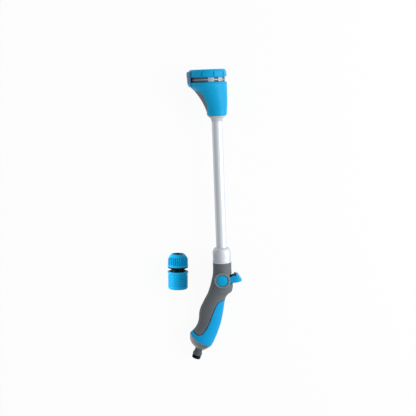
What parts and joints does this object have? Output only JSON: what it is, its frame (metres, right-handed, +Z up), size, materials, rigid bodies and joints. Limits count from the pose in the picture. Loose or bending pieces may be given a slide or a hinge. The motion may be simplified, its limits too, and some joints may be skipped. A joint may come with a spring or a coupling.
{
  "type": "spray wand",
  "caption": "Hose-fed spray wand with a turning multi-pattern head, aluminium tube, thumb lever valve and quick-connect nipple, with its loose hose connector.",
  "frame": {"origin": "middle of the set's box on the surface that it lies on", "axes": "+Y runs along the wand from the hose end to the head, +X points to the side that the lever stands out to, and +Z is up"},
  "size_m": [0.125, 0.4894, 0.0633],
  "materials": {
    "grey_plastic": "fine moulded texture",
    "soft_blue": "soft matt skin",
    "blue_plastic": "satin moulded plastic",
    "dark_gloss": "glossy dark plastic",
    "dark_plastic": "moulded plastic",
    "black_plastic": "moulded plastic",
    "black_rubber": "smooth rubber",
    "white_plastic": "moulded plastic",
    "steel": "bright steel",
    "tube_metal": "satin drawn tube",
    "silver_metal": "bright turned and plated"
  },
  "bodies": {
    "wand": {"handle_shell_near": "grey_plastic", "handle_shell_far": "grey_plastic", "grip_overmould": "soft_blue", "shell_screws": "steel", "end_cap": "dark_gloss", "hose_nipple": "dark_plastic", "nipple_o_ring": "black_rubber", "inlet_filter": "steel", "inlet_pipe": "white_plastic", "pipe_seals": "black_rubber", "valve_body": "dark_plastic", "valve_end_seals": "black_rubber", "collar_nut": "silver_metal", "tube": "tube_metal", "tube_seals": "black_rubber", "neck_ferrule": "white_plastic", "head_shell": "blue_plastic", "head_insert": "grey_plastic", "index_tab": "grey_plastic", "head_core": "dark_plastic", "port_seal": "black_rubber", "detent_ball": "steel", "detent_spring": "steel", "face_screw": "steel"},
    "lever": {"valve_plug": "white_plastic", "thumb_lever": "blue_plastic", "lever_core": "black_plastic", "pivot_cap_near": "blue_plastic", "pivot_cap_far": "blue_plastic"},
    "selector": {"selector_ring": "blue_plastic", "indicator_band": "silver_metal", "spray_face": "dark_plastic", "nozzle_tips": "soft_blue", "distributor": "white_plastic"},
    "connector": {"connector_body": "black_plastic", "connector_o_ring": "black_rubber", "connector_jaws": "black_plastic", "collar_spring": "steel"},
    "collar": {"connector_collar": "blue_plastic"},
    "gripper": {"hose_gripper": "black_plastic"},
    "nut": {"connector_nut": "blue_plastic"}
  },
  "joints": [
    {"name": "lever_turn", "type": "hinge", "parent": "wand", "child": "lever", "pos_m": [0.02911, -0.1052, 0.02111], "axis": [0, -0.0317, 0.9995], "range_deg": [0, 17]},
    {"name": "selector_turn", "type": "hinge", "parent": "wand", "child": "selector", "pos_m": [0.01691, 0.23123, 0.03178], "axis": [0, 0.9995, 0.0317], "continuous": true},
    {"name": "connector_lift", "type": "slide", "parent": "wand", "child": "connector", "axis": [0, 0, 1], "range_m": [0, 0.1]},
    {"name": "collar_slide", "type": "slide", "parent": "connector", "child": "collar", "axis": [0.0384, 0.9993, 0], "range_m": [0, 0.004], "stiffness_N_per_m": 600, "springref_m": -0.005, "deforming": ["collar_spring"]},
    {"name": "gripper_slide", "type": "slide", "parent": "connector", "child": "gripper", "axis": [0.0384, 0.9993, 0], "range_m": [0, 0.0061]},
    {"name": "nut_turn", "type": "hinge", "parent": "gripper", "child": "nut", "pos_m": [-0.04409, -0.07075, 0.0176], "axis": [0.0384, 0.9993, 0], "range_deg": [0, 720]}
  ],
  "couplings": [
    {"joint": "gripper_slide", "follows": "nut_turn", "m_per_rad": 0.00047746}
  ]
}
